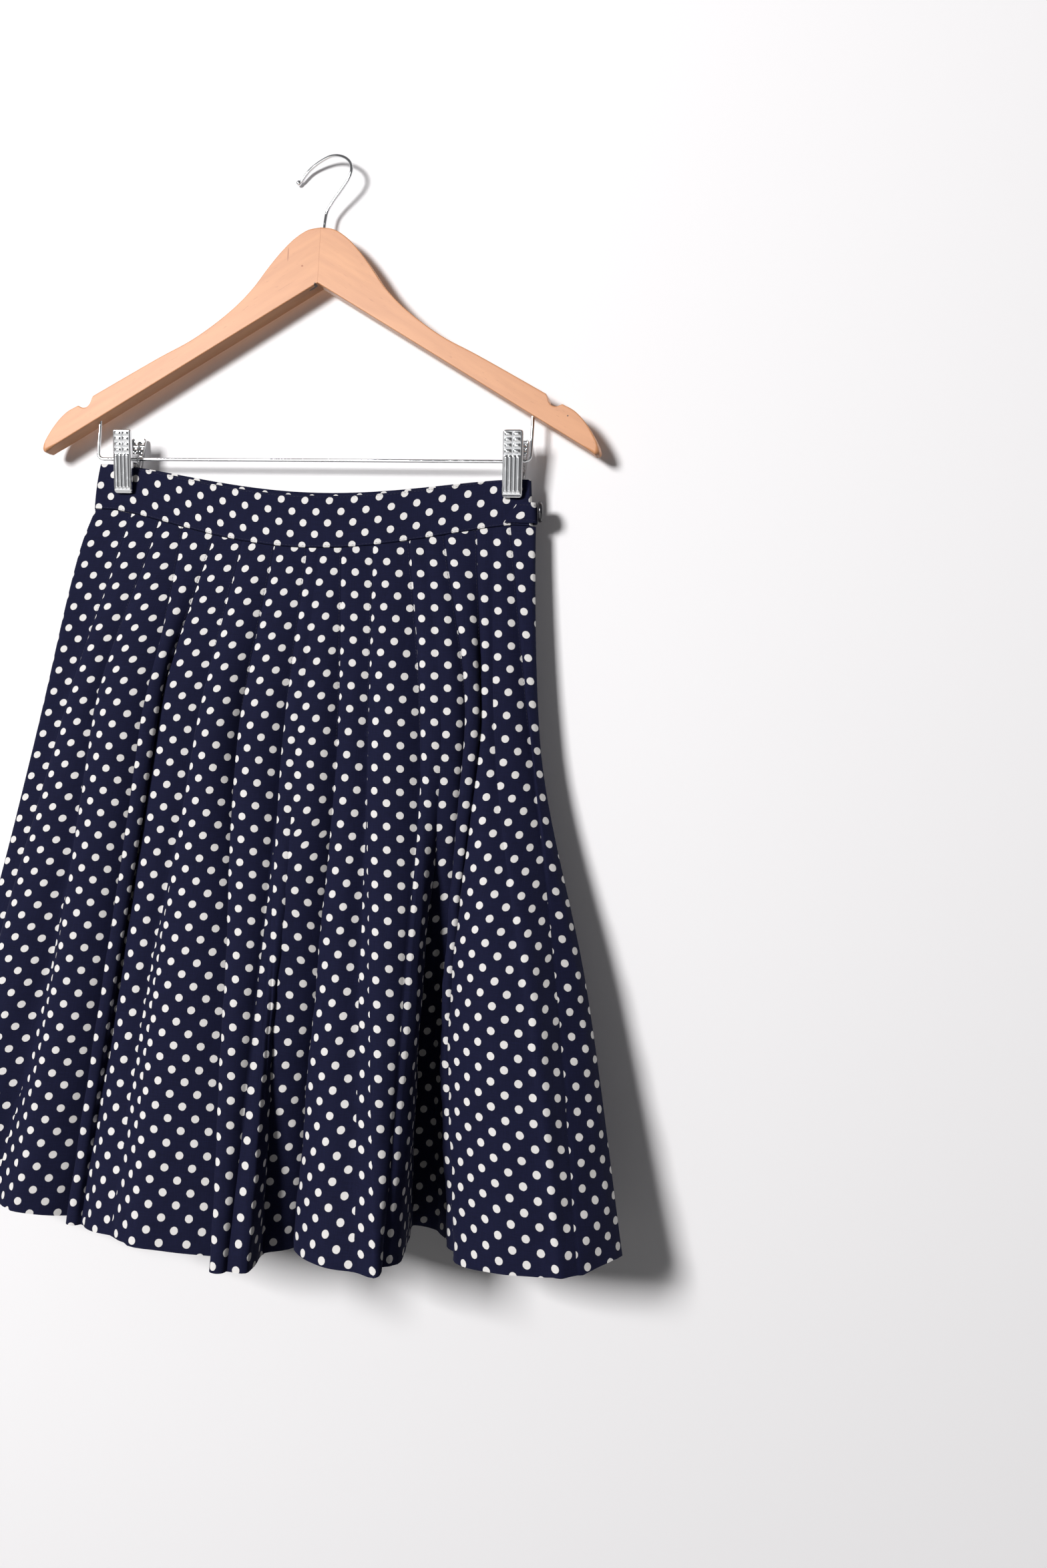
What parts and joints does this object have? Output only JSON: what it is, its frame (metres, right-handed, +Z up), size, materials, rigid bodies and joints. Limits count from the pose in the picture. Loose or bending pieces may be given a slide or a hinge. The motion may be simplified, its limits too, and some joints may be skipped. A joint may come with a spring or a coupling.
{
  "type": "pleated skirt on a clip hanger",
  "caption": "Flared knee-length skirt with stitched-down pleats and a straight waistband, hung by its waist from the two clips of a wooden hanger with a wire hook.",
  "frame": {"origin": "inside top of the hanger's hook, on the centre plane of the hanger, where a rail or peg carries it", "axes": "+X to the viewer's right along the hanger, +Y away from the viewer towards the skirt's back, +Z up"},
  "size_m": [0.54, 0.1345, 0.8085],
  "materials": {
    "cloth": "navy cotton with white polka dots",
    "button": "dark polished",
    "beech": "clear varnish",
    "chrome": "polished"
  },
  "bodies": {
    "root": {"skirt_front": "cloth", "skirt_back": "cloth", "waistband_front": "cloth", "waistband_back": "cloth", "waist_tab": "cloth", "waist_button": "button", "hanger_arm_left": "beech", "hanger_arm_right": "beech", "hanger_hook": "chrome", "hanger_bar": "chrome", "clip_left_front_jaw": "chrome", "clip_left_rear_jaw": "chrome", "clip_left_spring": "chrome", "clip_right_front_jaw": "chrome", "clip_right_rear_jaw": "chrome", "clip_right_spring": "chrome"}
  },
  "joints": []
}
